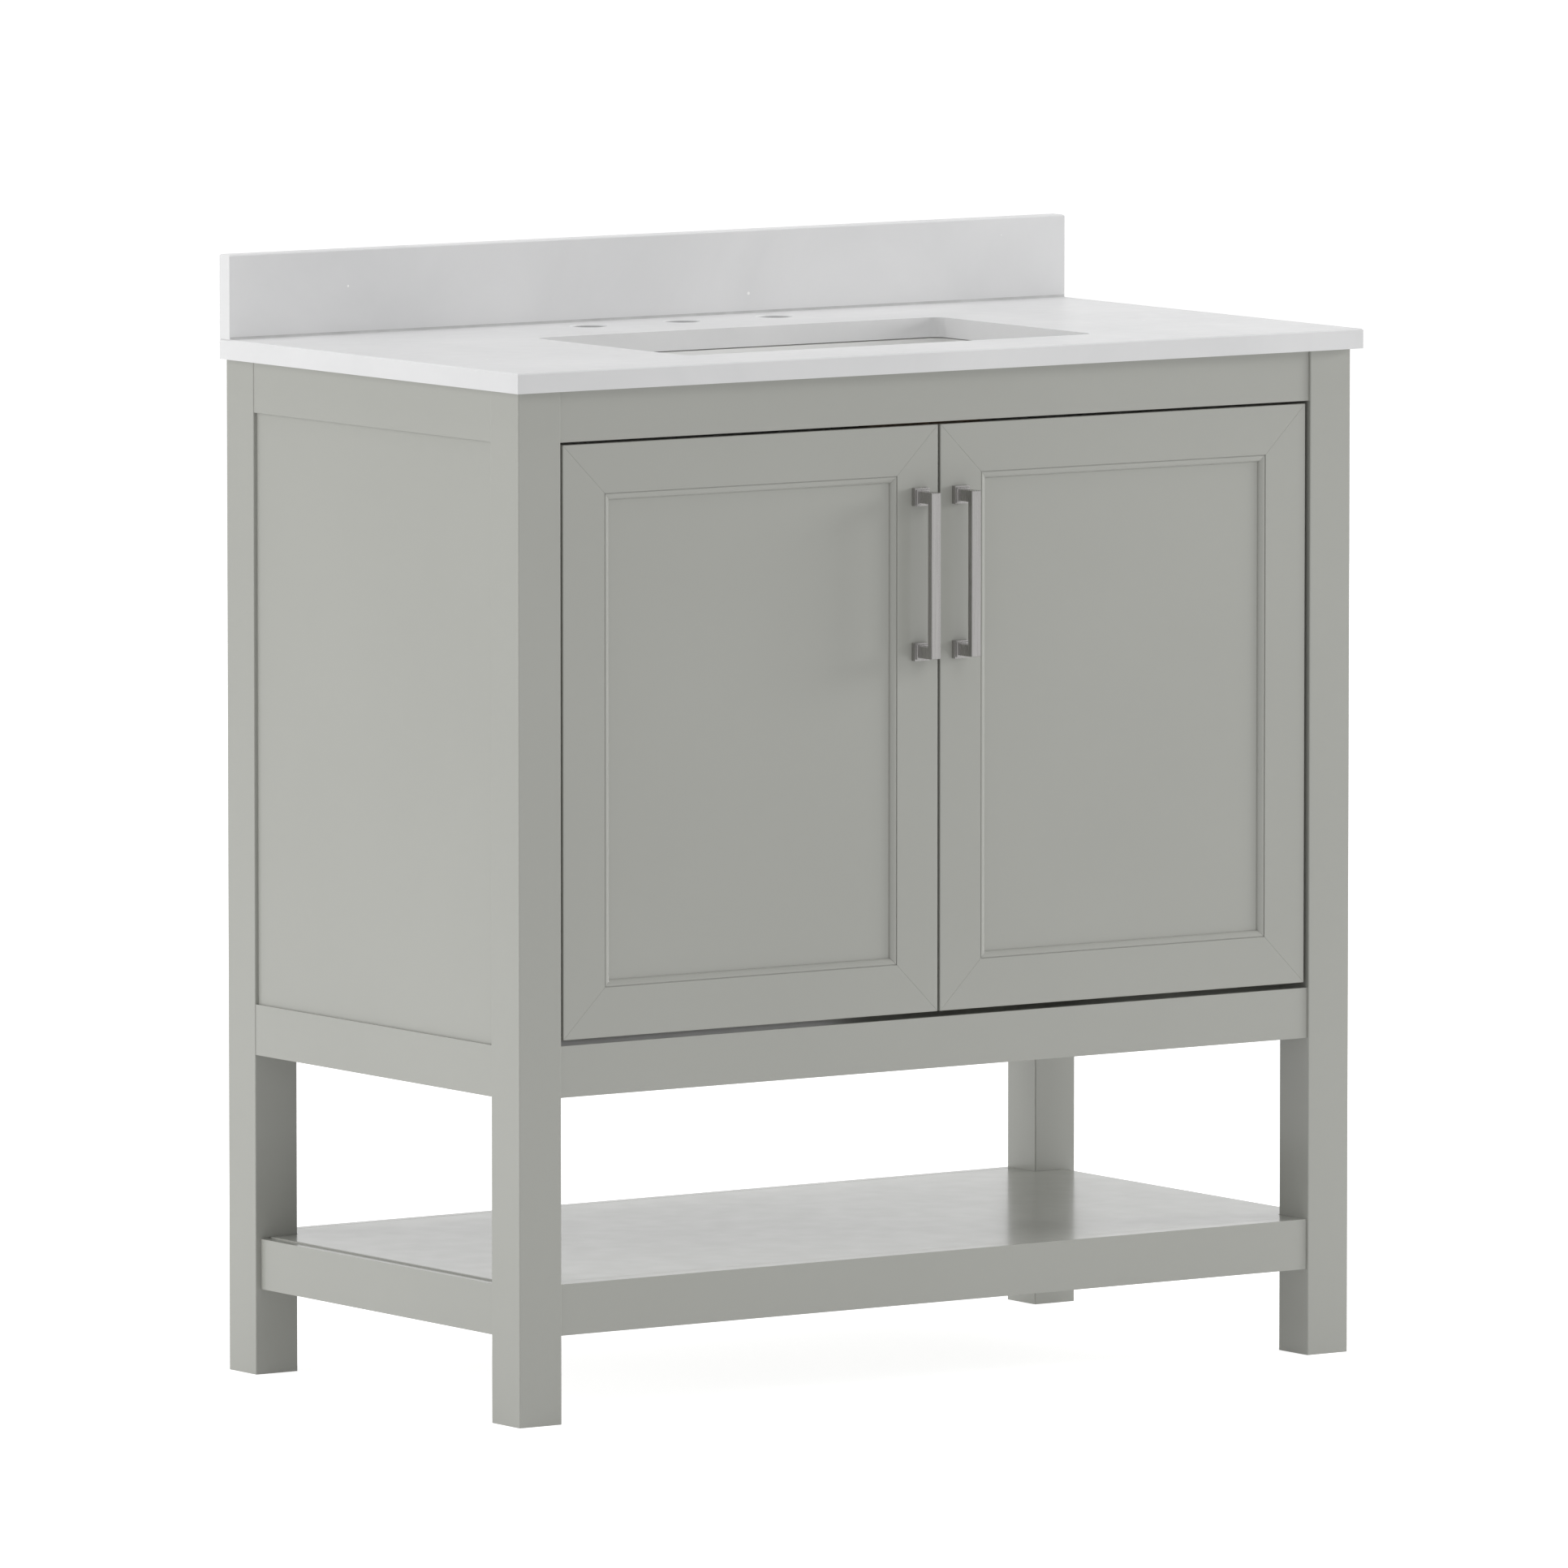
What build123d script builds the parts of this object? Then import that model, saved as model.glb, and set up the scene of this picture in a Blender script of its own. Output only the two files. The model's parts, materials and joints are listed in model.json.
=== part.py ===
from build123d import *
import os

# Bathroom vanity: a four-legged painted cabinet with two inset doors and an open shelf,
# a stone top with an undermount basin and a stone backsplash.
# Sizes are in millimetres. X runs to the right, Y to the back, Z up.
# The origin is on the floor, under the middle of the outline.
# "Depth" is measured back from the front face of the front legs.
# "Inset" is measured in from the outer side face of the legs.

# Stone top and backsplash
TOP_W = 914.4
TOP_D = 482.0
TOP_T = 18.0
TOP_BEVEL = 1.2
SIDE_OVERHANG = 7.0
FRONT_OVERHANG = 10.0
SPLASH_H = 76.0
SPLASH_T = 16.5

# Basin cut-out and tap holes
CUTOUT_W = 441.6
CUTOUT_D = 244.0
CUTOUT_R = 11.0
CUTOUT_FRONT = 76.0
TAP_R = 16.0
TAP_DEPTH = 410.0
TAP_PITCH = 101.6
TAP_BEVEL = 1.0

# Basin
REVEAL = 2.0
BASIN_WALL = 9.0
BASIN_FLANGE = 14.0
BASIN_FLANGE_T = 12.0
BASIN_DEPTH = 132.0
BASIN_BOTTOM = 11.0
BASIN_TAPER = 5.0
BOWL_FLOOR_R = 12.0
SHELL_FLOOR_R = 16.0
DRAIN_R = 22.5
DRAIN_SEAT_R = 31.0
DRAIN_SEAT = 2.0
SEAL_T = 1.0
SEAL_SETBACK = 6.0
CLIP_T = 2.5
CLIP_W = 16.0
CLIP_FOOT = 20.0
CLIP_LIP = 12.0
CLIP_GAP = 2.0
CLIP_SCREW_R = 2.5
CLIP_SCREW_BITE = 8.0
CLIP_HEAD_R = 4.5
CLIP_HEAD_T = 3.0

# Frame
LEG = 44.5
LEG_H = 912.0
LEG_EASE = 1.0
FRONT_SETBACK = 2.4
SIDE_SETBACK = 0.7
PANEL_SETBACK = 3.5
RAIL_T = 22.0
RAIL_H = 45.6
BOTTOM_RAIL_Z = 289.0
PANEL_T = 6.0
GROOVE = 8.0
GROOVE_SPARE = 1.0
FLOOR_T = 12.0
FLOOR_DROP = 5.0
FLOOR_GROOVE = 6.0
FIT = 0.5
DOWEL_R = 4.0
DOWEL_BITE = 16.0
FRONT_DOWEL_IN = 9.6
BACK_DOWEL_IN = 10.0
SIDE_DOWEL_IN = 11.8
SHELF_SIDE_DOWEL_IN = 9.7
TOP_DOWELS = (12.0, 33.0)
BOTTOM_DOWELS = (10.0, 34.0)
SHELF_DOWELS = (9.0, 24.0)
SIDE_TOP_DOWELS = (18.0, 34.0)
SIDE_BOTTOM_DOWELS = (8.0, 20.5)
SHELF_SIDE_DOWELS = (8.6, 22.6)
WALL_HOLE_R = 3.0
WALL_HOLE_PITCH = 406.4

# Back panel, lapped onto the inside of the back rails, and its opening for the pipes
BACK_PANEL_T = 6.0
BACK_PANEL_LAP = 12.0
PIPE_W = 400.0
PIPE_H = 260.0
PIPE_Z = 430.0
PIPE_R = 20.0

# Open shelf
SHELF_Z = 78.4
SHELF_H = 45.5
SHELF_T = 12.0
SHELF_FRONT_LIP = 18.0
SHELF_BACK_LIP = 10.5
SHELF_SIDE_LIP = 9.7
SHELF_SIDE_SETBACK = 5.3
SHELF_SIDE_DROP = 1.4
SHELF_SIDE_H = 45.3
SHELF_SIDE_T = 20.0
SHELF_RAIL_T = 24.0

# Inner blocks
BLOCK_T = 20.0
BLOCK_REACH = 60.0
BATTEN_D = 80.0
STOP_W = 120.0
STOP_T = 17.6
STOP_H = 44.0
STOP_DROP = 20.4
BUMPER_R = 5.0
BUMPER_GAP = 0.3
BUMPER_T = 1.7

# Doors
GAP_SIDE = 3.7
GAP_MID = 2.5
GAP_TOP = 2.5
GAP_BOTTOM = 5.0
DOOR_T = 20.0
FACE_W = 45.0
QUIRK_W = 0.8
QUIRK_DEPTH = 0.8
BEAD_W = 5.3
BEAD_TOP = 0.4
BEAD_BOTTOM = 3.4
BEAD_KNEE = 0.45
BEAD_KNEE_DROP = 0.7
PANEL_DEPTH = 4.0
DOOR_EASE = 0.8

# Pulls
PULL_LEN = 148.0
PULL_W = 10.0
PULL_T = 6.0
PULL_EASE = 0.5
PULL_PROJECTION = 27.0
PULL_INSET = 20.5
PULL_Z = 731.5
PLATE_W = 16.0
PLATE_T = 5.0
TIER_W = 13.5
TIER_T = 1.8
PLATE_EASE = 0.4
PULL_SCREW_R = 2.0
PULL_SCREW_BITE = 9.0
PULL_HEAD_R = 4.0
PULL_HEAD_T = 2.4

# Hinges: a cup in the door, a fixed arm on the cabinet, and the pin that joins them
CUP_INSET = 22.5
PIN_FROM_BACK = 8.0
CUP_R = 17.5
CUP_WALL = 1.3
CUP_POCKET = 13.0
CUP_FLOOR = 0.8
CUP_RIM_R = 18.3
CUP_RIM_T = 1.0
CUP_EAR_H = 29.0
CUP_EAR_IN = 2.0
CUP_EAR_OUT = 15.5
CUP_SCREW_X = 9.5
CUP_SCREW_Z = 22.5
CUP_SCREW_R = 1.75
CUP_SCREW_BITE = 12.0
CUP_HEAD_R = 3.5
CUP_HEAD_T = 1.5
PIN_R = 1.5
PIN_PLAY = 0.05
EYE_R = 3.6
ARM_T = 2.2
ARM_HALF_H = 6.5
ARM_ELBOW = 14.0
SWING_CLEARANCE = 0.6
ARM_TAIL = 4.0
MOUNT_T = 2.0
MOUNT_SETBACK = 2.9
MOUNT_LEN = 39.0
MOUNT_HALF_H = 16.0
MOUNT_SCREW_Z = 11.3
MOUNT_SCREW_EDGE = 9.0
MOUNT_SCREW_BITE = 12.0
MOUNT_HEAD_R = 3.2
MOUNT_HEAD_T = 1.6
HINGE_END = 92.0

# How far a cutting shape runs past the piece it cuts
OVERCUT = 1.0

# Derived sizes
CAB_W = TOP_W - 2 * SIDE_OVERHANG
CAB_D = TOP_D - FRONT_OVERHANG
HALF = CAB_W / 2
OPEN_HALF = HALF - LEG
BACK_LEG = CAB_D - LEG
MID_D = (FRONT_SETBACK - PULL_PROJECTION + CAB_D) / 2
TOP_RAIL_Z = LEG_H - RAIL_H
BOTTOM_RAIL_TOP = BOTTOM_RAIL_Z + RAIL_H
SHELF_TOP = SHELF_Z + SHELF_H
SHELF_UNDER = SHELF_TOP - SHELF_T
FLOOR_TOP = BOTTOM_RAIL_TOP - FLOOR_DROP
FLOOR_UNDER = FLOOR_TOP - FLOOR_T
SIDE_IN = SIDE_SETBACK + RAIL_T
DOOR_BACK = FRONT_SETBACK + DOOR_T
FRONT_RAIL_BACK = DOOR_BACK + BUMPER_GAP + BUMPER_T
FRONT_RAIL_T = FRONT_RAIL_BACK - FRONT_SETBACK
BACK_RAIL_FRONT = CAB_D - RAIL_T
DOOR_W = (2 * OPEN_HALF - 2 * GAP_SIDE - GAP_MID) / 2
DOOR_Z0 = BOTTOM_RAIL_TOP + GAP_BOTTOM
DOOR_Z1 = TOP_RAIL_Z - GAP_TOP
DOOR_H = DOOR_Z1 - DOOR_Z0
DOOR_X0 = -OPEN_HALF + GAP_SIDE
DOOR_X1 = DOOR_X0 + DOOR_W
MEMBER_W = FACE_W + BEAD_W
CUT_MID = CUTOUT_FRONT + CUTOUT_D / 2
BOWL_W = CUTOUT_W + 2 * REVEAL
BOWL_D = CUTOUT_D + 2 * REVEAL
BOWL_R = CUTOUT_R + REVEAL
FLANGE_W = BOWL_W + 2 * (BASIN_WALL + BASIN_FLANGE)
FLANGE_D = BOWL_D + 2 * (BASIN_WALL + BASIN_FLANGE)
FLANGE_TOP = LEG_H - SEAL_T
FLANGE_UNDER = FLANGE_TOP - BASIN_FLANGE_T
PIN_X = DOOR_X0 + CUP_INSET
PIN_DEPTH = DOOR_T - PIN_FROM_BACK
PIN_D = FRONT_SETBACK + PIN_DEPTH
SWEEP_R = (CUP_INSET ** 2 + PIN_DEPTH ** 2) ** 0.5
ARM_CROSS = SWEEP_R + SWING_CLEARANCE
ARM_FOOT = -(CUP_INSET + GAP_SIDE) + MOUNT_T
MOUNT_FRONT = LEG + MOUNT_SETBACK - PIN_D
MOUNT_BACK = MOUNT_FRONT + MOUNT_LEN
MOUNT_SCREW_Y = (MOUNT_FRONT + MOUNT_SCREW_EDGE, MOUNT_BACK - MOUNT_SCREW_EDGE)
ARM_SCREW_Y = (MOUNT_FRONT + MOUNT_BACK) / 2
ARM_END = MOUNT_BACK + ARM_TAIL
HINGE_Z = (DOOR_Z0 + HINGE_END, DOOR_Z1 - HINGE_END)
PULL_X = DOOR_X1 - PULL_INSET
POST_PITCH = PULL_LEN - PULL_W
POST_Z = (PULL_Z - POST_PITCH / 2, PULL_Z + POST_PITCH / 2)


def at(x, depth, z):
    """Place at X, depth from the legs' front face, and Z."""
    return Pos(x, depth - MID_D, z)


def slab(x0, x1, d0, d1, z0, z1):
    """Box between two X, two depth and two Z values."""
    body = Box(x1 - x0, d1 - d0, z1 - z0)
    return at((x0 + x1) / 2, (d0 + d1) / 2, (z0 + z1) / 2) * body


def rod_x(r, x0, x1, depth, z):
    """Round bar along X."""
    return at((x0 + x1) / 2, depth, z) * Rot(0, 90, 0) * Cylinder(r, x1 - x0)


def rod_y(r, x, d0, d1, z):
    """Round bar along Y."""
    return at(x, (d0 + d1) / 2, z) * Rot(90, 0, 0) * Cylinder(r, d1 - d0)


def rod_z(r, x, depth, z0, z1):
    """Round bar along Z."""
    return at(x, depth, (z0 + z1) / 2) * Cylinder(r, z1 - z0)


def flip(body):
    """The same piece on the right-hand side."""
    return mirror(body, about=Plane.YZ)


def group(pieces):
    """Loose pieces kept together under one name."""
    return Compound(children=list(pieces))


def joined(pieces):
    """Fuse pieces into one solid."""
    body = pieces[0]
    for piece in pieces[1:]:
        body = body + piece
    return body


def outline(points, z0, z1):
    """Upright prism over (X, depth) points."""
    face = make_face(Polyline([(x, d - MID_D) for x, d in points], close=True))
    return Pos(0, 0, z0) * extrude(face, amount=z1 - z0)


def rounded(width, depth, radius, z, drop, taper=0.0):
    """Rounded rectangle centred on the cut-out, extruded down from z."""
    face = at(0, CUT_MID, z) * RectangleRounded(width, depth, radius)
    return extrude(face, amount=-drop, taper=taper)


NODES = {}


def pair(name, body):
    """Add a left-hand piece and its right-hand twin."""
    NODES[name + "_left"] = body
    NODES[name + "_right"] = flip(body)


def lifted(z0, heights):
    """Heights above the floor of dowels set at heights above z0."""
    return [z0 + height for height in heights]


# Dowels: (depth, heights, whether in the back legs) of the cross rails
CROSS_DOWELS = [
    (depth, lifted(z0, heights), row)
    for depth, row in ((FRONT_SETBACK + FRONT_DOWEL_IN, 0), (CAB_D - BACK_DOWEL_IN, 1))
    for z0, heights in ((TOP_RAIL_Z, TOP_DOWELS), (BOTTOM_RAIL_Z, BOTTOM_DOWELS),
                        (SHELF_Z, SHELF_DOWELS))
]
# Dowels: (inset, heights) of the side rails
SIDE_DOWELS = (
    (SIDE_SETBACK + SIDE_DOWEL_IN, lifted(TOP_RAIL_Z, SIDE_TOP_DOWELS)),
    (SIDE_SETBACK + SIDE_DOWEL_IN, lifted(BOTTOM_RAIL_Z, SIDE_BOTTOM_DOWELS)),
    (SHELF_SIDE_SETBACK + SHELF_SIDE_DOWEL_IN, lifted(SHELF_Z, SHELF_SIDE_DOWELS)),
)


def cross_dowels(back):
    """Left-hand dowels of the front or back cross rails."""
    x = -OPEN_HALF
    bars = []
    for depth, heights, row in CROSS_DOWELS:
        if row == back:
            for z in heights:
                bars.append(rod_x(DOWEL_R, x - DOWEL_BITE, x + DOWEL_BITE, depth, z))
    return bars


def side_dowels(back):
    """Left-hand dowels at the front or back ends of the side rails."""
    face = BACK_LEG if back else LEG
    bars = []
    for inset, heights in SIDE_DOWELS:
        for z in heights:
            bars.append(rod_y(DOWEL_R, -HALF + inset, face - DOWEL_BITE, face + DOWEL_BITE, z))
    return bars


CROSS_LEFT = cross_dowels(0) + cross_dowels(1)
CROSS_ALL = CROSS_LEFT + [flip(bar) for bar in CROSS_LEFT]
SIDE_LEFT = side_dowels(0) + side_dowels(1)


def without(body, tools):
    """Cut several tools from a piece."""
    for tool in tools:
        body = body - tool
    return body


# Legs, with stopped grooves for the side panels and holes for the dowels
def leg(back):
    d0 = BACK_LEG if back else 0.0
    body = slab(-HALF, -OPEN_HALF, d0, d0 + LEG, 0.0, LEG_H)
    body = fillet(body.edges().filter_by(Axis.Z), LEG_EASE)
    groove_d = BACK_LEG if back else LEG - GROOVE
    x0 = -HALF + PANEL_SETBACK
    slot = slab(x0, x0 + PANEL_T, groove_d, groove_d + GROOVE,
                BOTTOM_RAIL_TOP - GROOVE, TOP_RAIL_Z + GROOVE)
    return without(body - slot, cross_dowels(back) + side_dowels(back))


pair("leg_front", leg(0))
pair("leg_back", leg(1))

# Cross rails between the legs
FLOOR_SLOT = slab(-OPEN_HALF, OPEN_HALF, FRONT_RAIL_BACK - FLOOR_GROOVE,
                  BACK_RAIL_FRONT + FLOOR_GROOVE, FLOOR_UNDER, FLOOR_TOP)
SHELF_SEAT = slab(-HALF, HALF, FRONT_SETBACK + SHELF_FRONT_LIP, CAB_D - SHELF_BACK_LIP,
                  SHELF_UNDER, SHELF_TOP)


def cross_rail(d0, thick, z0, height):
    return slab(-OPEN_HALF, OPEN_HALF, d0, d0 + thick, z0, z0 + height)


NODES["front_top_rail"] = without(
    cross_rail(FRONT_SETBACK, FRONT_RAIL_T, TOP_RAIL_Z, RAIL_H), CROSS_ALL)
NODES["front_bottom_rail"] = without(
    cross_rail(FRONT_SETBACK, FRONT_RAIL_T, BOTTOM_RAIL_Z, RAIL_H) - FLOOR_SLOT, CROSS_ALL)
WALL_HOLES = [
    rod_y(WALL_HOLE_R, side * WALL_HOLE_PITCH / 2, BACK_RAIL_FRONT, CAB_D, TOP_RAIL_Z + RAIL_H / 2)
    for side in (-1, 1)
]
NODES["back_top_rail"] = without(
    cross_rail(BACK_RAIL_FRONT, RAIL_T, TOP_RAIL_Z, RAIL_H), CROSS_ALL + WALL_HOLES)
NODES["back_bottom_rail"] = without(
    cross_rail(BACK_RAIL_FRONT, RAIL_T, BOTTOM_RAIL_Z, RAIL_H) - FLOOR_SLOT, CROSS_ALL)
NODES["shelf_front_rail"] = without(
    cross_rail(FRONT_SETBACK, SHELF_RAIL_T, SHELF_Z, SHELF_H) - SHELF_SEAT, CROSS_ALL)
NODES["shelf_back_rail"] = without(
    cross_rail(CAB_D - SHELF_RAIL_T, SHELF_RAIL_T, SHELF_Z, SHELF_H) - SHELF_SEAT, CROSS_ALL)


# Side rails, side panels and shelf stretchers
def side_rail(inset, thick, z0, height):
    return slab(-HALF + inset, -HALF + inset + thick, LEG, BACK_LEG, z0, z0 + height)


PANEL_X = -HALF + PANEL_SETBACK
PANEL_SLOT = slab(PANEL_X, PANEL_X + PANEL_T, LEG - GROOVE, BACK_LEG + GROOVE,
                  BOTTOM_RAIL_TOP - GROOVE, TOP_RAIL_Z + GROOVE)
PANEL_BITE = GROOVE - GROOVE_SPARE
side_floor_slot = slab(-HALF + SIDE_IN - FLOOR_GROOVE, -HALF + SIDE_IN, LEG, BACK_LEG,
                       FLOOR_UNDER, FLOOR_TOP)
pair("side_top_rail", without(
    side_rail(SIDE_SETBACK, RAIL_T, TOP_RAIL_Z, RAIL_H) - PANEL_SLOT, SIDE_LEFT))
pair("side_bottom_rail", without(
    side_rail(SIDE_SETBACK, RAIL_T, BOTTOM_RAIL_Z, RAIL_H) - PANEL_SLOT - side_floor_slot,
    SIDE_LEFT))
pair("side_panel", slab(PANEL_X, PANEL_X + PANEL_T, LEG - PANEL_BITE, BACK_LEG + PANEL_BITE,
                        BOTTOM_RAIL_TOP - PANEL_BITE, TOP_RAIL_Z + PANEL_BITE))
shelf_side_seat = slab(-HALF + SHELF_SIDE_SETBACK + SHELF_SIDE_LIP, HALF, LEG, BACK_LEG,
                       SHELF_UNDER, SHELF_TOP)
pair("shelf_side_rail", without(
    side_rail(SHELF_SIDE_SETBACK, SHELF_SIDE_T, SHELF_TOP - SHELF_SIDE_DROP - SHELF_SIDE_H,
              SHELF_SIDE_H) - shelf_side_seat, SIDE_LEFT))
NODES["rail_dowels"] = group(CROSS_ALL + SIDE_LEFT + [flip(bar) for bar in SIDE_LEFT])


# Flat boards notched round the legs
def notched(half_w, d0, d1, z0, z1):
    board = slab(-half_w, half_w, d0, d1, z0, z1)
    corners = []
    for side in (-1, 1):
        for near, far in ((-OVERCUT, LEG + FIT), (BACK_LEG - FIT, CAB_D + OVERCUT)):
            x = side * (HALF - (LEG + FIT) / 2)
            half = (LEG + FIT) / 2
            corners.append(slab(x - half, x + half, near, far, z0 - OVERCUT, z1 + OVERCUT))
    return without(board, corners)


NODES["cabinet_floor"] = notched(HALF - SIDE_IN + FLOOR_GROOVE - FIT,
                                 FRONT_RAIL_BACK - FLOOR_GROOVE + FIT,
                                 BACK_RAIL_FRONT + FLOOR_GROOVE - FIT, FLOOR_UNDER, FLOOR_TOP)
NODES["shelf_panel"] = notched(HALF - SHELF_SIDE_SETBACK - SHELF_SIDE_LIP,
                               FRONT_SETBACK + SHELF_FRONT_LIP, CAB_D - SHELF_BACK_LIP,
                               SHELF_UNDER, SHELF_TOP)

# Back panel: stands on the cabinet floor, glued to the inner faces of the back rails
BACK_PANEL_D = BACK_RAIL_FRONT - BACK_PANEL_T
back_panel = slab(-OPEN_HALF + FIT, OPEN_HALF - FIT, BACK_PANEL_D, BACK_RAIL_FRONT,
                  FLOOR_TOP, TOP_RAIL_Z + BACK_PANEL_LAP)
pipe_opening = slab(-PIPE_W / 2, PIPE_W / 2, BACK_PANEL_D, BACK_RAIL_FRONT, PIPE_Z, PIPE_Z + PIPE_H)
NODES["back_panel"] = back_panel - fillet(pipe_opening.edges().filter_by(Axis.Y), PIPE_R)

# Corner blocks under the top, hinge battens behind the front legs
BLOCK_Z = LEG_H - BLOCK_T


def corner_block(back):
    rail = BACK_RAIL_FRONT if back else FRONT_RAIL_BACK
    post = BACK_LEG if back else LEG
    turn = -1 if back else 1
    x_leg = -OPEN_HALF
    x_rail = -HALF + SIDE_IN
    points = [
        (x_leg, rail),
        (x_leg + BLOCK_REACH, rail),
        (x_rail, post + turn * BLOCK_REACH),
        (x_rail, post),
        (x_leg, post),
    ]
    return outline(points, BLOCK_Z, LEG_H)


BLOCKS = [corner_block(0), corner_block(1)]
NODES["corner_blocks"] = group(BLOCKS + [flip(body) for body in BLOCKS])

# Door stop on the back of the front top rail, with two rubber bumpers
NODES["door_stop"] = slab(-STOP_W / 2, STOP_W / 2, FRONT_RAIL_BACK, FRONT_RAIL_BACK + STOP_T,
                          TOP_RAIL_Z - STOP_DROP, TOP_RAIL_Z - STOP_DROP + STOP_H)
NODES["door_bumpers"] = group([
    rod_y(BUMPER_R, side * STOP_W / 4, DOOR_BACK + BUMPER_GAP, FRONT_RAIL_BACK,
          TOP_RAIL_Z - STOP_DROP / 2)
    for side in (-1, 1)
])

# Stone top with the basin cut-out, tap holes and blind holes for the clip screws
CLIP_SPOTS = []
for side in (-1, 1):
    CLIP_SPOTS.append((side * FLANGE_W / 4, CUT_MID - FLANGE_D / 2, -90))
    CLIP_SPOTS.append((side * FLANGE_W / 4, CUT_MID + FLANGE_D / 2, 90))
    CLIP_SPOTS.append((side * FLANGE_W / 2, CUT_MID, 0 if side > 0 else 180))
CLIP_SCREW_U = CLIP_GAP + CLIP_T + (CLIP_FOOT - CLIP_T) / 2


def at_clip(spot):
    x, depth, turn = spot
    return at(x, depth, 0) * Rot(0, 0, turn)


top = slab(-TOP_W / 2, TOP_W / 2, -FRONT_OVERHANG, CAB_D, LEG_H, LEG_H + TOP_T)
top = chamfer(top.faces().sort_by(Axis.Z)[-1].edges().sort_by(Axis.Y)[:-1], TOP_BEVEL)
hole = rounded(CUTOUT_W, CUTOUT_D, CUTOUT_R, LEG_H + TOP_T + OVERCUT, TOP_T + 2 * OVERCUT)
top = top - hole
for step in (-1, 0, 1):
    top = top - rod_z(TAP_R, step * TAP_PITCH, TAP_DEPTH, LEG_H, LEG_H + TOP_T)
    flare = at(step * TAP_PITCH, TAP_DEPTH, LEG_H + TOP_T - TAP_BEVEL / 2)
    top = top - flare * Cone(TAP_R, TAP_R + TAP_BEVEL, TAP_BEVEL)
for spot in CLIP_SPOTS:
    drill = at_clip(spot) * Pos(CLIP_SCREW_U, 0, LEG_H + CLIP_SCREW_BITE / 2)
    top = top - drill * Cylinder(CLIP_SCREW_R, CLIP_SCREW_BITE)
NODES["countertop"] = top

splash = slab(-TOP_W / 2, TOP_W / 2, CAB_D - SPLASH_T, CAB_D,
              LEG_H + TOP_T, LEG_H + TOP_T + SPLASH_H)
splash = chamfer(splash.faces().sort_by(Axis.Z)[-1].edges().sort_by(Axis.Y)[:-1], TOP_BEVEL)
NODES["backsplash"] = splash

# Undermount basin
bowl = rounded(BOWL_W, BOWL_D, BOWL_R, FLANGE_TOP, BASIN_DEPTH, BASIN_TAPER)
bowl = fillet(bowl.faces().sort_by(Axis.Z)[0].edges(), BOWL_FLOOR_R)
shell = rounded(BOWL_W + 2 * BASIN_WALL, BOWL_D + 2 * BASIN_WALL, BOWL_R + BASIN_WALL,
                FLANGE_TOP, BASIN_DEPTH + BASIN_BOTTOM, BASIN_TAPER)
shell = fillet(shell.faces().sort_by(Axis.Z)[0].edges(), SHELL_FLOOR_R)
rim = rounded(FLANGE_W, FLANGE_D, BOWL_R + BASIN_WALL + BASIN_FLANGE, FLANGE_TOP, BASIN_FLANGE_T)
BOWL_FLOOR = FLANGE_TOP - BASIN_DEPTH
basin = shell + rim - bowl
basin = basin - rod_z(DRAIN_R, 0, CUT_MID, BOWL_FLOOR - BASIN_BOTTOM - OVERCUT,
                      BOWL_FLOOR + OVERCUT)
basin = basin - rod_z(DRAIN_SEAT_R, 0, CUT_MID, BOWL_FLOOR - DRAIN_SEAT, BOWL_FLOOR + OVERCUT)
NODES["sink_basin"] = basin

seal = rounded(FLANGE_W - 2 * SEAL_SETBACK, FLANGE_D - 2 * SEAL_SETBACK, BOWL_R + BASIN_FLANGE,
               LEG_H, SEAL_T)
NODES["sink_seal"] = seal - rounded(BOWL_W, BOWL_D, BOWL_R, LEG_H + OVERCUT,
                                     SEAL_T + 2 * OVERCUT)


def clip():
    """Bent clip: foot under the top, lip under the basin flange."""
    lip_z = FLANGE_UNDER - CLIP_T
    u0 = CLIP_GAP
    foot = Pos(u0 + CLIP_FOOT / 2, 0, LEG_H - CLIP_T / 2) * Box(CLIP_FOOT, CLIP_W, CLIP_T)
    web = Pos(u0 + CLIP_T / 2, 0, (LEG_H + lip_z) / 2) * Box(CLIP_T, CLIP_W, LEG_H - lip_z)
    reach = CLIP_LIP + CLIP_GAP + CLIP_T
    lip = Pos(u0 + CLIP_T - reach / 2, 0, lip_z + CLIP_T / 2) * Box(reach, CLIP_W, CLIP_T)
    bore = Pos(CLIP_SCREW_U, 0, LEG_H - CLIP_T / 2) * Cylinder(CLIP_SCREW_R, CLIP_T)
    return foot + web + lip - bore


def clip_screw():
    length = CLIP_SCREW_BITE + CLIP_T
    shank = Pos(CLIP_SCREW_U, 0, LEG_H + CLIP_SCREW_BITE - length / 2) * Cylinder(
        CLIP_SCREW_R, length)
    head_z = LEG_H - CLIP_T - CLIP_HEAD_T / 2
    return shank + Pos(CLIP_SCREW_U, 0, head_z) * Cylinder(CLIP_HEAD_R, CLIP_HEAD_T)


NODES["sink_clips"] = group([at_clip(spot) * clip() for spot in CLIP_SPOTS])
NODES["sink_clip_screws"] = group([at_clip(spot) * clip_screw() for spot in CLIP_SPOTS])


# Hinge parts, left-hand side; offsets are from the pin
def at_pin(x, y, z):
    return at(PIN_X + x, PIN_D + y, z)


POCKET_Y = PIN_FROM_BACK - CUP_POCKET
BATTEN_X = -OPEN_HALF


def mount_screw_bars(r, x0, x1):
    bars = []
    for z in HINGE_Z:
        for y in MOUNT_SCREW_Y:
            for side in (-1, 1):
                bars.append(rod_x(r, x0, x1, PIN_D + y, z + side * MOUNT_SCREW_Z))
        bars.append(rod_x(r, x0, x1, PIN_D + ARM_SCREW_Y, z))
    return bars


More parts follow.
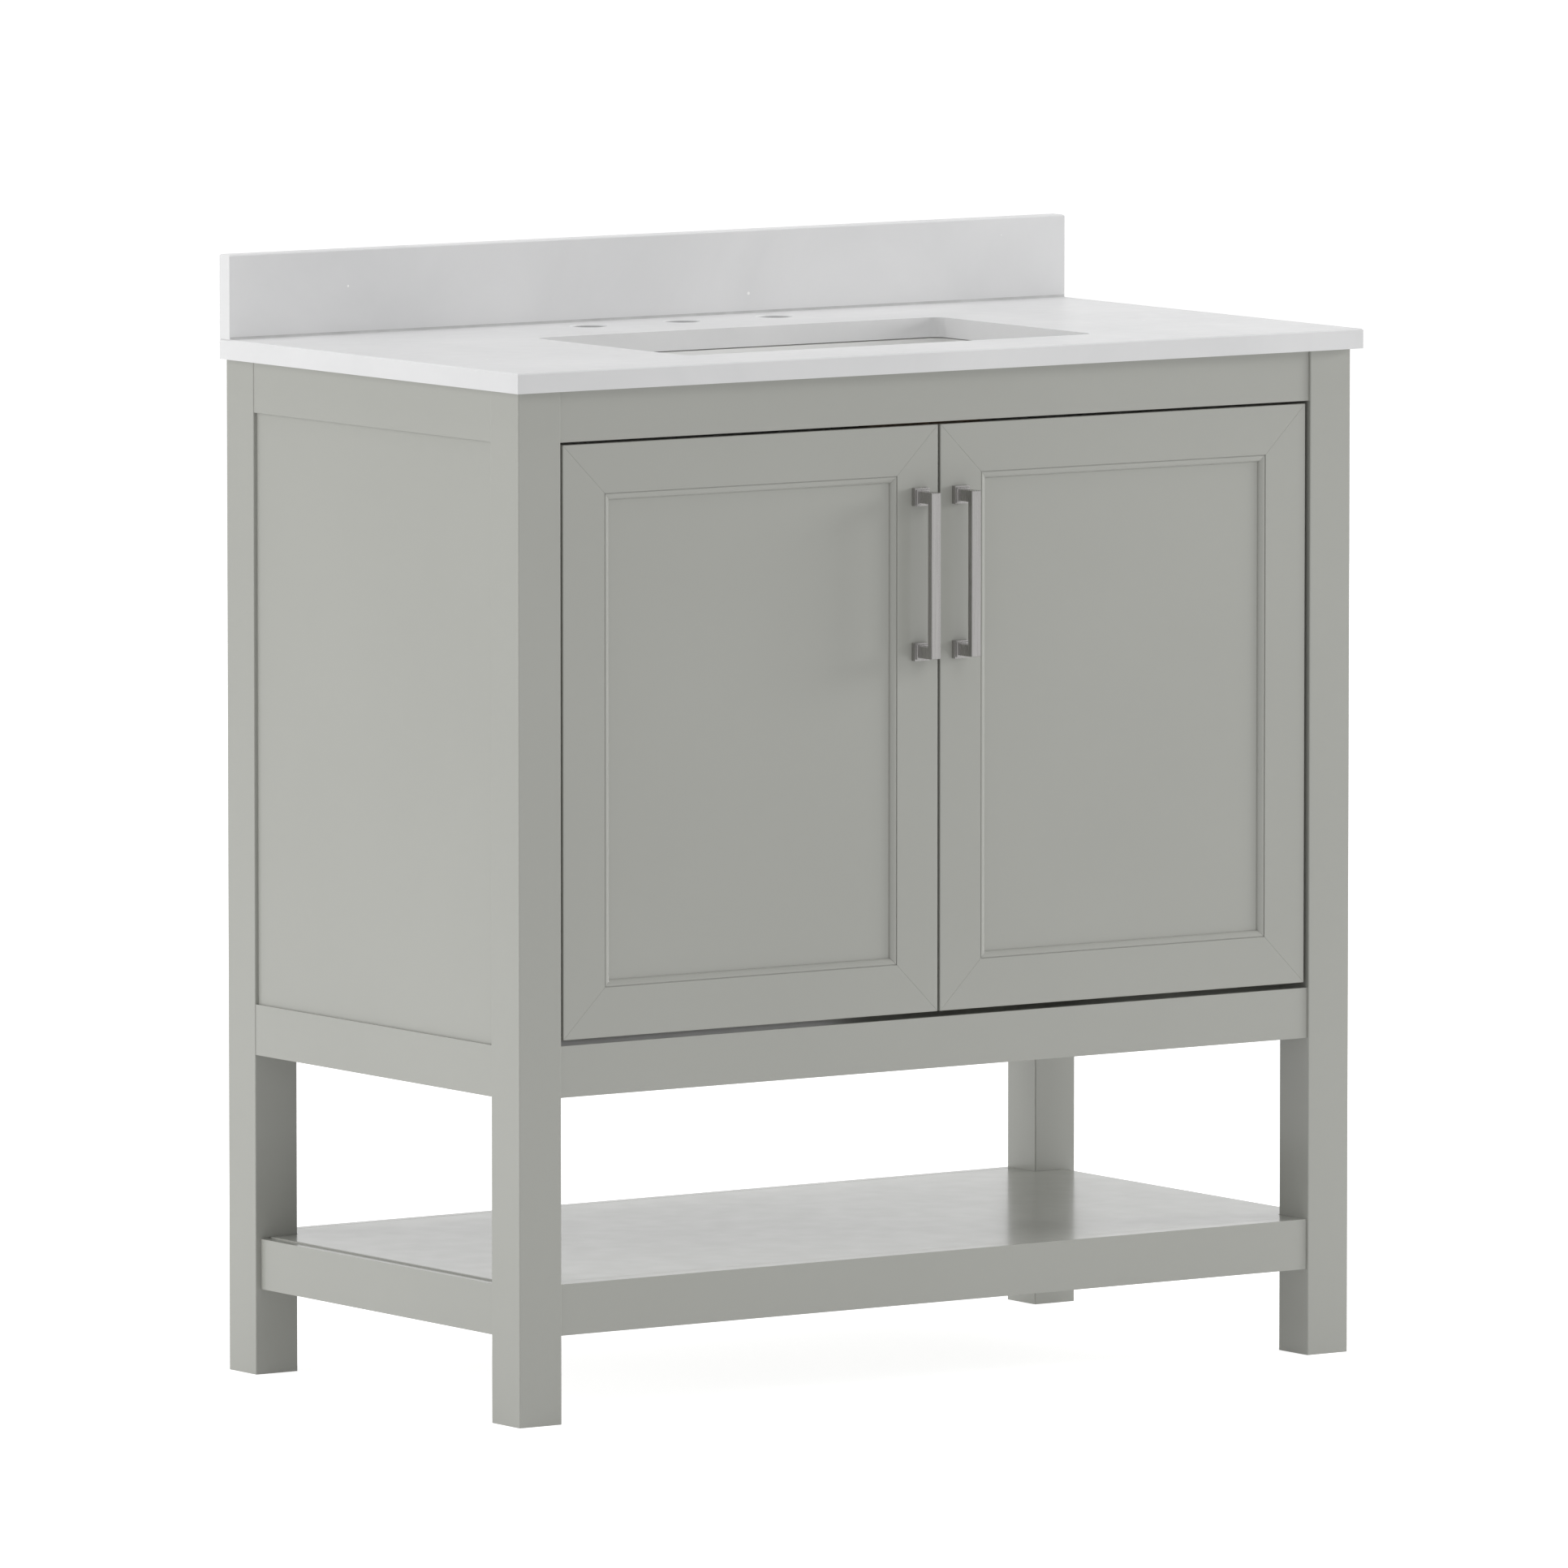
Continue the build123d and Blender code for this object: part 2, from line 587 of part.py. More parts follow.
batten = slab(-HALF + SIDE_IN, BATTEN_X, LEG, LEG + BATTEN_D, FLOOR_TOP, BLOCK_Z)
pair("hinge_batten", without(
    batten, mount_screw_bars(CUP_SCREW_R, BATTEN_X - MOUNT_SCREW_BITE, BATTEN_X)))


def arm(z):
    """Goose-neck strip from the eye round the door edge to the mounting plate."""
    foot = ARM_FOOT
    line = [
        (0.0, -ARM_T / 2),
        (ARM_ELBOW, -ARM_T / 2),
        (ARM_ELBOW, ARM_CROSS + ARM_T),
        (foot + ARM_T, ARM_CROSS + ARM_T),
        (foot + ARM_T, ARM_END),
        (foot, ARM_END),
        (foot, ARM_CROSS),
        (ARM_ELBOW - ARM_T, ARM_CROSS),
        (ARM_ELBOW - ARM_T, ARM_T / 2),
        (0.0, ARM_T / 2),
    ]
    strip = outline([(PIN_X + x, PIN_D + y) for x, y in line], z - ARM_HALF_H, z + ARM_HALF_H)
    eye = at_pin(0, 0, z) * Cylinder(EYE_R, 2 * ARM_HALF_H)
    bore = at_pin(0, 0, z) * Cylinder(PIN_R + PIN_PLAY, 2 * (ARM_HALF_H + OVERCUT))
    bolt = rod_x(CUP_SCREW_R, PIN_X + foot, PIN_X + foot + ARM_T, PIN_D + ARM_SCREW_Y, z)
    return strip + eye - bore - bolt


pair("hinge_arms", group([arm(z) for z in HINGE_Z]))
plates = [
    slab(BATTEN_X, BATTEN_X + MOUNT_T, PIN_D + MOUNT_FRONT, PIN_D + MOUNT_BACK,
         z - MOUNT_HALF_H, z + MOUNT_HALF_H)
    for z in HINGE_Z
]
plate_holes = mount_screw_bars(CUP_SCREW_R, BATTEN_X, BATTEN_X + MOUNT_T)
pair("hinge_plates", group([without(body, plate_holes) for body in plates]))


def plate_screws():
    """Two rows of plate screws and the arm screw of each left-hand hinge."""
    screws = []
    for z in HINGE_Z:
        spots = [(y, z + side * MOUNT_SCREW_Z, MOUNT_T)
                 for y in MOUNT_SCREW_Y for side in (-1, 1)]
        spots.append((ARM_SCREW_Y, z, MOUNT_T + ARM_T))
        for y, height, seat in spots:
            start = BATTEN_X - MOUNT_SCREW_BITE
            shank = rod_x(CUP_SCREW_R, start, BATTEN_X + seat, PIN_D + y, height)
            head = rod_x(MOUNT_HEAD_R, BATTEN_X + seat, BATTEN_X + seat + MOUNT_HEAD_T,
                         PIN_D + y, height)
            screws.append(shank + head)
    return screws


PLATE_SCREWS = plate_screws()
NODES["hinge_plate_screws"] = group(PLATE_SCREWS + [flip(body) for body in PLATE_SCREWS])


# Doors: mitred frame members round a flat panel
def member(length):
    """Frame member along X with its outer edge at Y = 0 and its front face at Z = 0 facing up."""
    profile = [
        (0.0, 0.0),
        (FACE_W - QUIRK_W, 0.0),
        (FACE_W - QUIRK_W, -QUIRK_DEPTH),
        (FACE_W, -QUIRK_DEPTH),
        (FACE_W, -BEAD_TOP),
        (FACE_W + BEAD_W * BEAD_KNEE, -BEAD_TOP - BEAD_KNEE_DROP),
        (MEMBER_W, -BEAD_BOTTOM),
        (MEMBER_W, -PANEL_DEPTH),
        (MEMBER_W - GROOVE - GROOVE_SPARE, -PANEL_DEPTH),
        (MEMBER_W - GROOVE - GROOVE_SPARE, -PANEL_DEPTH - PANEL_T),
        (MEMBER_W, -PANEL_DEPTH - PANEL_T),
        (MEMBER_W, -DOOR_T),
        (0.0, -DOOR_T),
    ]
    face = Plane.YZ * make_face(Polyline(profile, close=True))
    bar = Pos(-length / 2, 0, 0) * extrude(face, amount=length)
    bar = chamfer(bar.edges().group_by(Axis.Z)[-1].sort_by(Axis.Y)[0], DOOR_EASE)
    half = length / 2
    mitre = make_face(Polyline([(-half, 0), (half, 0), (half - MEMBER_W, MEMBER_W),
                                (-half + MEMBER_W, MEMBER_W)], close=True))
    return bar & extrude(mitre, amount=-DOOR_T)


STAND = Rot(90, 0, 0)
DOOR_CX = (DOOR_X0 + DOOR_X1) / 2
DOOR_CZ = (DOOR_Z0 + DOOR_Z1) / 2


def placed_member(length, x, z, turn):
    return at(x, FRONT_SETBACK, z) * STAND * Rot(0, 0, turn) * member(length)


cup_pockets = [rod_y(CUP_R, PIN_X, PIN_D + POCKET_Y, DOOR_BACK, z) for z in HINGE_Z]


def cup_screw_bars(r, d0, d1):
    return [
        rod_y(r, PIN_X + CUP_SCREW_X, d0, d1, z + side * CUP_SCREW_Z)
        for z in HINGE_Z for side in (-1, 1)
    ]


pull_bores = [rod_y(PULL_SCREW_R, PULL_X, FRONT_SETBACK, DOOR_BACK, z) for z in POST_Z]
door = {}
door["rail_bottom"] = placed_member(DOOR_W, DOOR_CX, DOOR_Z0, 0)
door["rail_top"] = placed_member(DOOR_W, DOOR_CX, DOOR_Z1, 180)
door["hinge_stile"] = without(
    placed_member(DOOR_H, DOOR_X0, DOOR_CZ, -90),
    cup_pockets + cup_screw_bars(CUP_SCREW_R, DOOR_BACK - CUP_SCREW_BITE, DOOR_BACK))
door["lock_stile"] = without(placed_member(DOOR_H, DOOR_X1, DOOR_CZ, 90), pull_bores)
reach = MEMBER_W - GROOVE
door["panel"] = slab(DOOR_X0 + reach, DOOR_X1 - reach, FRONT_SETBACK + PANEL_DEPTH,
                     FRONT_SETBACK + PANEL_DEPTH + PANEL_T, DOOR_Z0 + reach, DOOR_Z1 - reach)


def cup(z):
    """Pressed cup with a rim and two screw ears."""
    body = rod_y(CUP_R, PIN_X, PIN_D + POCKET_Y, DOOR_BACK, z)
    body = body + rod_y(CUP_RIM_R, PIN_X, DOOR_BACK, DOOR_BACK + CUP_RIM_T, z)
    body = body + slab(PIN_X + CUP_EAR_IN, PIN_X + CUP_EAR_OUT, DOOR_BACK, DOOR_BACK + CUP_RIM_T,
                       z - CUP_EAR_H, z + CUP_EAR_H)
    body = body - rod_y(CUP_R - CUP_WALL, PIN_X, PIN_D + POCKET_Y + CUP_FLOOR,
                        DOOR_BACK + CUP_RIM_T, z)
    body = body - rod_z(PIN_R, PIN_X, PIN_D, z - CUP_R - OVERCUT,
                        z + CUP_R + OVERCUT)
    return without(body, cup_screw_bars(CUP_SCREW_R, DOOR_BACK, DOOR_BACK + CUP_RIM_T))


door["hinge_cups"] = group([cup(z) for z in HINGE_Z])
pin_half = CUP_R - CUP_WALL / 2
door["hinge_pins"] = group([
    rod_z(PIN_R, PIN_X, PIN_D, z - pin_half, z + pin_half) for z in HINGE_Z
])
shanks = cup_screw_bars(CUP_SCREW_R, DOOR_BACK - CUP_SCREW_BITE, DOOR_BACK + CUP_RIM_T)
heads = cup_screw_bars(CUP_HEAD_R, DOOR_BACK + CUP_RIM_T, DOOR_BACK + CUP_RIM_T + CUP_HEAD_T)
door["cup_screws"] = group([shank + head for shank, head in zip(shanks, heads)])

# Pull: square bar on two posts, two-tier backplates, screws from inside the door
BAR_FRONT = FRONT_SETBACK - PULL_PROJECTION
BAR_BACK = BAR_FRONT + PULL_T
TIER_FRONT = FRONT_SETBACK - PLATE_T - TIER_T
bar = slab(PULL_X - PULL_W / 2, PULL_X + PULL_W / 2, BAR_FRONT, BAR_BACK,
           PULL_Z - PULL_LEN / 2, PULL_Z + PULL_LEN / 2)
bar = chamfer(bar.faces().sort_by(Axis.Y)[0].edges(), PULL_EASE)
posts = [
    slab(PULL_X - PULL_W / 2, PULL_X + PULL_W / 2, BAR_BACK, TIER_FRONT,
         z - PULL_W / 2, z + PULL_W / 2)
    for z in POST_Z
]
taps = [rod_y(PULL_SCREW_R, PULL_X, TIER_FRONT - PULL_SCREW_BITE, TIER_FRONT, z) for z in POST_Z]
door["pull_bar"] = without(joined([bar] + posts), taps)


def backplate(z):
    body = joined([
        slab(PULL_X - w / 2, PULL_X + w / 2, d0, d1, z - w / 2, z + w / 2)
        for w, d0, d1 in ((PLATE_W, FRONT_SETBACK - PLATE_T, FRONT_SETBACK),
                          (TIER_W, TIER_FRONT, FRONT_SETBACK - PLATE_T))
    ])
    body = chamfer(body.faces().sort_by(Axis.Y)[0].edges(), PLATE_EASE)
    return body - rod_y(PULL_SCREW_R, PULL_X, TIER_FRONT, FRONT_SETBACK, z)


door["pull_plates"] = group([backplate(z) for z in POST_Z])
door["pull_screws"] = group([
    rod_y(PULL_SCREW_R, PULL_X, TIER_FRONT - PULL_SCREW_BITE, DOOR_BACK, z)
    + rod_y(PULL_HEAD_R, PULL_X, DOOR_BACK, DOOR_BACK + PULL_HEAD_T, z)
    for z in POST_Z
])
for name, body in door.items():
    NODES["door_left_" + name] = body
    NODES["door_right_" + name] = flip(body)

os.makedirs("parts", exist_ok=True)
for name, body in NODES.items():
    export_step(body, "parts/" + name + ".step")
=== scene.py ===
import json
import math

import bmesh
import bpy
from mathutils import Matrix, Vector


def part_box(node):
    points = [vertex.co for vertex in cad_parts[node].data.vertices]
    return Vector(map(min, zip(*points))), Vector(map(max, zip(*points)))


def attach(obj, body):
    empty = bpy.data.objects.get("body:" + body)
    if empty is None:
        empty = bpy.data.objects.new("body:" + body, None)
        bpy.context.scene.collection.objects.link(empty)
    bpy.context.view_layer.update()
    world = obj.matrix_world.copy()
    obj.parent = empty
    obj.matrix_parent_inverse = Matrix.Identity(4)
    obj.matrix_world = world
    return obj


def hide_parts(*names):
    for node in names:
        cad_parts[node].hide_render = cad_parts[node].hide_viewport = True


# Bathroom vanity cabinet: materials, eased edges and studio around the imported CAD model.
# Metres. X runs to the right, Y to the back, Z up; the doors face -Y.

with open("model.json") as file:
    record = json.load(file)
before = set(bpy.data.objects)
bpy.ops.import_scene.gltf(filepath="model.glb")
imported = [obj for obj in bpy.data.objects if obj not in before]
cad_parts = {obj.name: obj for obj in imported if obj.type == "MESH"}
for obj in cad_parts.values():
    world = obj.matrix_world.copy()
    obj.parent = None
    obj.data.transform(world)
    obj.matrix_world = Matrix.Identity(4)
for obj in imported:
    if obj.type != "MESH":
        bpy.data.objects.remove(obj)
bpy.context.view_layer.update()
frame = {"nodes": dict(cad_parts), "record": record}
NODES = frame["nodes"]

MM = 0.001

# Camera: the viewing direction, the point that it looks at, and how far the whole camera
# is raised square to its view
CAMERA_YAW = math.radians(34.44)
CAMERA_PITCH = math.radians(5.832)
CAMERA_DISTANCE = 16.26
CAMERA_LENS = 414.4
CAMERA_SENSOR = 36.0
CAMERA_AIM = Vector((0.0, 0.0225, 0.4727))
CAMERA_RISE = 0.0494
CAMERA_CLIP = 200.0

# Linear colours
PAINT = (0.379, 0.383, 0.352)
PAINT_SPREAD = 0.018
STONE_LIGHT = (0.765, 0.765, 0.768)
STONE_DARK = (0.700, 0.702, 0.706)
STONE_SPECK = (0.93, 0.93, 0.92)
CERAMIC = (0.88, 0.88, 0.87)
NICKEL = (0.465, 0.455, 0.447)
HINGE_NICKEL = (0.62, 0.61, 0.59)
ZINC = (0.55, 0.57, 0.60)
BIRCH_LIGHT = (0.62, 0.44, 0.26)
BIRCH_DARK = (0.46, 0.30, 0.16)
SEALANT = (0.22, 0.22, 0.21)
CAULK = (0.50, 0.50, 0.50)
RUBBER = (0.016, 0.016, 0.017)
WHITE = (1.0, 1.0, 1.0, 1.0)

# Surfaces. Noise scales are per metre, a roughness pair is its range over the surface,
# and a bump is its strength and its height in metres.
PAINT_DRIFT_SCALE = 3.0
PAINT_GLOSS_SCALE = 38.0
PAINT_ROUGHNESS = (0.30, 0.36)
PAINT_COAT = 0.62
PAINT_COAT_ROUGHNESS = 0.16
PAINT_PEEL_SCALE = 520.0
PAINT_PEEL_BUMP = (0.05, 0.03 * MM)
PAINT_WAVE_SCALE = 24.0
PAINT_WAVE_BUMP = (0.03, 0.10 * MM)

STONE_CLOUD_SCALE = 5.0
STONE_CLOUD_RANGE = (0.32, 0.68)
STONE_GRAIN_SCALE = 650.0
STONE_GRAIN_MIX = 0.10
STONE_CHIP_SCALE = 34.0
STONE_CHIP_SIZE = 0.055
STONE_CHIP_SPREAD_SCALE = 14.0
STONE_CHIP_SPREAD_RANGE = (0.44, 0.62)
STONE_GLOSS_SCALE = 60.0
STONE_ROUGHNESS = (0.28, 0.36)
STONE_SPECULAR = 0.05
STONE_WAVE_SCALE = 30.0
STONE_WAVE_BUMP = (0.02, 0.10 * MM)

CERAMIC_DRIFT_SCALE = 6.0
CERAMIC_SPREAD = 0.01
CERAMIC_GLOSS_SCALE = 80.0
CERAMIC_ROUGHNESS = (0.05, 0.09)
CERAMIC_COAT = 0.5
CERAMIC_COAT_ROUGHNESS = 0.03
CERAMIC_WAVE_SCALE = 22.0
CERAMIC_WAVE_BUMP = (0.05, 0.20 * MM)

BRUSH_ACROSS = 900.0
BRUSH_ALONG = 9.0
BRUSH_SPREAD = 0.08
BRUSH_HEIGHT = 0.03 * MM

PLATE_MOTTLE_SCALE = 60.0
PLATE_SPREAD = 0.03
PLATE_GLOSS_SCALE = 160.0
PLATE_GRAIN_SCALE = 700.0
PLATE_GRAIN_BUMP = (0.02, 0.02 * MM)

BIRCH_FIGURE = (2.0, 34.0, 34.0)
BIRCH_PORES = (14.0, 420.0, 420.0)
BIRCH_PORE_MIX = 0.35
BIRCH_ROUGHNESS = (0.55, 0.72)
BIRCH_PORE_BUMP = (0.25, 0.15 * MM)

SOFT_DRIFT_SCALE = 55.0
SOFT_SPREAD = 0.08
SOFT_GLOSS_SCALE = 200.0
SOFT_ROUGHNESS_HALF = 0.05
SOFT_GRAIN_SCALE = 380.0
SOFT_GRAIN_HEIGHT = 0.10 * MM

# Sockets of a Mix node that is set to mix colours
MIX_FIRST = 6
MIX_SECOND = 7
MIX_RESULT = 2


# ---- Node helpers
def new_material(name):
    """An empty node material with its Principled shader."""
    mat = bpy.data.materials.new(name)
    mat.use_nodes = True
    tree = mat.node_tree
    tree.nodes.clear()
    out = tree.nodes.new("ShaderNodeOutputMaterial")
    shader = tree.nodes.new("ShaderNodeBsdfPrincipled")
    tree.links.new(shader.outputs["BSDF"], out.inputs["Surface"])
    return mat, tree, shader


def place(tree, scale=(1.0, 1.0, 1.0)):
    """Coordinates in metres in the object's frame, stretched by scale."""
    coord = tree.nodes.new("ShaderNodeTexCoord")
    mapping = tree.nodes.new("ShaderNodeMapping")
    mapping.inputs["Scale"].default_value = scale
    tree.links.new(coord.outputs["Object"], mapping.inputs["Vector"])
    return mapping.outputs["Vector"]


def noise(tree, vector, scale, detail=2.0, roughness=0.5, distortion=0.0):
    """Smooth noise that stays mostly between 0.3 and 0.7."""
    node = tree.nodes.new("ShaderNodeTexNoise")
    node.inputs["Scale"].default_value = scale
    node.inputs["Detail"].default_value = detail
    node.inputs["Roughness"].default_value = roughness
    node.inputs["Distortion"].default_value = distortion
    tree.links.new(vector, node.inputs["Vector"])
    return node.outputs["Fac"]


def spread(tree, value, low, high, start=0.3, end=0.7):
    """Map a value from start to end onto low to high."""
    node = tree.nodes.new("ShaderNodeMapRange")
    node.inputs["From Min"].default_value = start
    node.inputs["From Max"].default_value = end
    node.inputs["To Min"].default_value = low
    node.inputs["To Max"].default_value = high
    tree.links.new(value, node.inputs["Value"])
    return node.outputs["Result"]


def blend_colour(tree, factor, first, second):
    """Mix two colours; each is a colour triple or an output socket."""
    node = tree.nodes.new("ShaderNodeMix")
    node.data_type = "RGBA"
    tree.links.new(factor, node.inputs["Factor"])
    for socket, value in ((node.inputs[MIX_FIRST], first), (node.inputs[MIX_SECOND], second)):
        if isinstance(value, tuple):
            socket.default_value = (*value, 1.0)
        else:
            tree.links.new(value, socket)
    return node.outputs[MIX_RESULT]


def bumps(tree, shader, layers):
    """Stack bump layers of (height, strength, distance in metres) on the shader."""
    normal = None
    for height, strength, distance in layers:
        node = tree.nodes.new("ShaderNodeBump")
        node.inputs["Strength"].default_value = strength
        node.inputs["Distance"].default_value = distance
        tree.links.new(height, node.inputs["Height"])
        if normal is not None:
            tree.links.new(normal, node.inputs["Normal"])
        normal = node.outputs["Normal"]
    tree.links.new(normal, shader.inputs["Normal"])


def tint(colour, amount):
    """The colour made lighter by a share, or darker if it is negative."""
    return tuple(c * (1.0 + amount) for c in colour)


# ---- Materials
def paint_material():
    """Sprayed satin paint: a soft tone drift, fine orange peel and uneven gloss."""
    mat, tree, shader = new_material("painted_wood")
    where = place(tree)
    drift = spread(tree, noise(tree, where, PAINT_DRIFT_SCALE, detail=3.0), 0.0, 1.0)
    colour = blend_colour(tree, drift, tint(PAINT, -PAINT_SPREAD), tint(PAINT, PAINT_SPREAD))
    tree.links.new(colour, shader.inputs["Base Color"])
    gloss = spread(tree, noise(tree, where, PAINT_GLOSS_SCALE, detail=4.0), *PAINT_ROUGHNESS)
    tree.links.new(gloss, shader.inputs["Roughness"])
    shader.inputs["Coat Weight"].default_value = PAINT_COAT
    shader.inputs["Coat Roughness"].default_value = PAINT_COAT_ROUGHNESS
    bumps(tree, shader, [
        (noise(tree, where, PAINT_PEEL_SCALE), *PAINT_PEEL_BUMP),
        (noise(tree, where, PAINT_WAVE_SCALE, detail=1.0), *PAINT_WAVE_BUMP),
    ])
    return mat


def stone_material():
    """Polished engineered stone: grey clouding, fine grain and small pale chips."""
    mat, tree, shader = new_material("stone_top")
    where = place(tree)
    cloud = noise(tree, where, STONE_CLOUD_SCALE, detail=5.0, roughness=0.55, distortion=0.6)
    cloud = spread(tree, cloud, 0.0, 1.0, *STONE_CLOUD_RANGE)
    body = blend_colour(tree, cloud, STONE_DARK, STONE_LIGHT)
    grain = spread(tree, noise(tree, where, STONE_GRAIN_SCALE), 0.0, STONE_GRAIN_MIX)
    body = blend_colour(tree, grain, body, STONE_DARK)
    chips = tree.nodes.new("ShaderNodeTexVoronoi")
    chips.inputs["Scale"].default_value = STONE_CHIP_SCALE
    chips.inputs["Randomness"].default_value = 1.0
    tree.links.new(where, chips.inputs["Vector"])
    size = noise(tree, where, STONE_CHIP_SPREAD_SCALE, detail=1.0)
    size = spread(tree, size, 0.0, STONE_CHIP_SIZE, *STONE_CHIP_SPREAD_RANGE)
    inside = tree.nodes.new("ShaderNodeMath")
    inside.operation = "LESS_THAN"
    tree.links.new(chips.outputs["Distance"], inside.inputs[0])
    tree.links.new(size, inside.inputs[1])
    body = blend_colour(tree, inside.outputs["Value"], body, STONE_SPECK)
    tree.links.new(body, shader.inputs["Base Color"])
    gloss = spread(tree, noise(tree, where, STONE_GLOSS_SCALE, detail=3.0), *STONE_ROUGHNESS)
    tree.links.new(gloss, shader.inputs["Roughness"])
    shader.inputs["Specular IOR Level"].default_value = STONE_SPECULAR
    bumps(tree, shader, [(noise(tree, where, STONE_WAVE_SCALE, detail=1.0), *STONE_WAVE_BUMP)])
    return mat


def ceramic_material():
    """White glaze, slightly wavy."""
    mat, tree, shader = new_material("ceramic")
    where = place(tree)
    drift = spread(tree, noise(tree, where, CERAMIC_DRIFT_SCALE), 0.0, 1.0)
    darker, lighter = tint(CERAMIC, -CERAMIC_SPREAD), tint(CERAMIC, CERAMIC_SPREAD)
    colour = blend_colour(tree, drift, darker, lighter)
    tree.links.new(colour, shader.inputs["Base Color"])
    gloss = spread(tree, noise(tree, where, CERAMIC_GLOSS_SCALE), *CERAMIC_ROUGHNESS)
    tree.links.new(gloss, shader.inputs["Roughness"])
    shader.inputs["Coat Weight"].default_value = CERAMIC_COAT
    shader.inputs["Coat Roughness"].default_value = CERAMIC_COAT_ROUGHNESS
    bumps(tree, shader, [(noise(tree, where, CERAMIC_WAVE_SCALE, detail=1.0), *CERAMIC_WAVE_BUMP)])
    return mat


def brushed_material(name, colour, roughness, along, strength):
    """Brushed metal: fine streaks drawn out along one axis."""
    mat, tree, shader = new_material(name)
    scale = tuple(BRUSH_ALONG if axis == along else BRUSH_ACROSS for axis in "XYZ")
    streaks = noise(tree, place(tree, scale), 1.0, detail=3.0, roughness=0.6)
    tone = spread(tree, streaks, 0.0, 1.0)
    body = blend_colour(tree, tone, tint(colour, -BRUSH_SPREAD), tint(colour, BRUSH_SPREAD))
    tree.links.new(body, shader.inputs["Base Color"])
    shader.inputs["Metallic"].default_value = 1.0
    gloss = spread(tree, streaks, *roughness)
    tree.links.new(gloss, shader.inputs["Roughness"])
    bumps(tree, shader, [(streaks, strength, BRUSH_HEIGHT)])
    return mat


def plated_material(name, colour, roughness):
    """Barrel-plated steel: a faint mottling, uneven gloss and fine grain."""
    mat, tree, shader = new_material(name)
    where = place(tree)
    mottle = spread(tree, noise(tree, where, PLATE_MOTTLE_SCALE, detail=3.0), 0.0, 1.0)
    body = blend_colour(tree, mottle, tint(colour, -PLATE_SPREAD), tint(colour, PLATE_SPREAD))
    tree.links.new(body, shader.inputs["Base Color"])
    shader.inputs["Metallic"].default_value = 1.0
    gloss = spread(tree, noise(tree, where, PLATE_GLOSS_SCALE, detail=3.0), *roughness)
    tree.links.new(gloss, shader.inputs["Roughness"])
    bumps(tree, shader, [(noise(tree, where, PLATE_GRAIN_SCALE), *PLATE_GRAIN_BUMP)])
    return mat


def birch_material():
    """Bare birch: grain drawn out along X, pores and a matt surface."""
    mat, tree, shader = new_material("raw_wood")
    long_grain = place(tree, BIRCH_FIGURE)
    fine_grain = place(tree, BIRCH_PORES)
    figure = noise(tree, long_grain, 1.0, detail=4.0, roughness=0.6, distortion=0.8)
    figure = spread(tree, figure, 0.0, 1.0)
    body = blend_colour(tree, figure, BIRCH_DARK, BIRCH_LIGHT)
    pores = noise(tree, fine_grain, 1.0, detail=3.0, roughness=0.6)
    body = blend_colour(tree, spread(tree, pores, 0.0, BIRCH_PORE_MIX), body, BIRCH_DARK)
    tree.links.new(body, shader.inputs["Base Color"])
    tree.links.new(spread(tree, pores, *BIRCH_ROUGHNESS), shader.inputs["Roughness"])
    bumps(tree, shader, [(pores, *BIRCH_PORE_BUMP)])
    return mat


def soft_material(name, colour, roughness, grain):
    """Rubber or sealant: matt, with a fine uneven skin."""
    mat, tree, shader = new_material(name)
    where = place(tree)
    drift = spread(tree, noise(tree, where, SOFT_DRIFT_SCALE, detail=3.0), 0.0, 1.0)
    body = blend_colour(tree, drift, tint(colour, -SOFT_SPREAD), tint(colour, SOFT_SPREAD))
    tree.links.new(body, shader.inputs["Base Color"])
    gloss = noise(tree, where, SOFT_GLOSS_SCALE)
    gloss = spread(tree, gloss, roughness - SOFT_ROUGHNESS_HALF, roughness + SOFT_ROUGHNESS_HALF)
    tree.links.new(gloss, shader.inputs["Roughness"])
    bumps(tree, shader, [(noise(tree, where, SOFT_GRAIN_SCALE), grain, SOFT_GRAIN_HEIGHT)])
    return mat


MATERIALS = {
    "painted_wood": paint_material(),
    "stone_top": stone_material(),
    "ceramic": ceramic_material(),
    "brushed_nickel": brushed_material("brushed_nickel", NICKEL, (0.22, 0.34), "Z", 0.10),
    "hinge_steel": plated_material("hinge_steel", HINGE_NICKEL, (0.23, 0.30)),
    "zinc_steel": plated_material("zinc_steel", ZINC, (0.31, 0.38)),
    "raw_wood": birch_material(),
    "sealant": soft_material("sealant", SEALANT, 0.45, 0.10),
    "rubber": soft_material("rubber", RUBBER, 0.75, 0.30),
}
CAULK_MATERIAL = soft_material("caulk", CAULK, 0.40, 0.06)

# ---- Eased edges: width in millimetres and bevel segments for each kind of surface
EASE = {
    "painted_wood": (0.7, 3),
    "raw_wood": (0.6, 2),
    "stone_top": (0.35, 2),
    "ceramic": (1.5, 3),
    "brushed_nickel": (0.2, 2),
    "hinge_steel": (0.25, 2),
    "zinc_steel": (0.25, 2),
    "sealant": (0.15, 1),
    "rubber": (0.4, 2),
}
EASE_ANGLE = math.radians(28.0)
SHARP_ANGLE = math.radians(32.0)
WELD_GAP = 0.01 * MM


def even_shading(obj):
    """Weight the normals by face size, so that broad faces stay flat."""
    shade = obj.modifiers.new("even_shading", "WEIGHTED_NORMAL")
    shade.keep_sharp = True


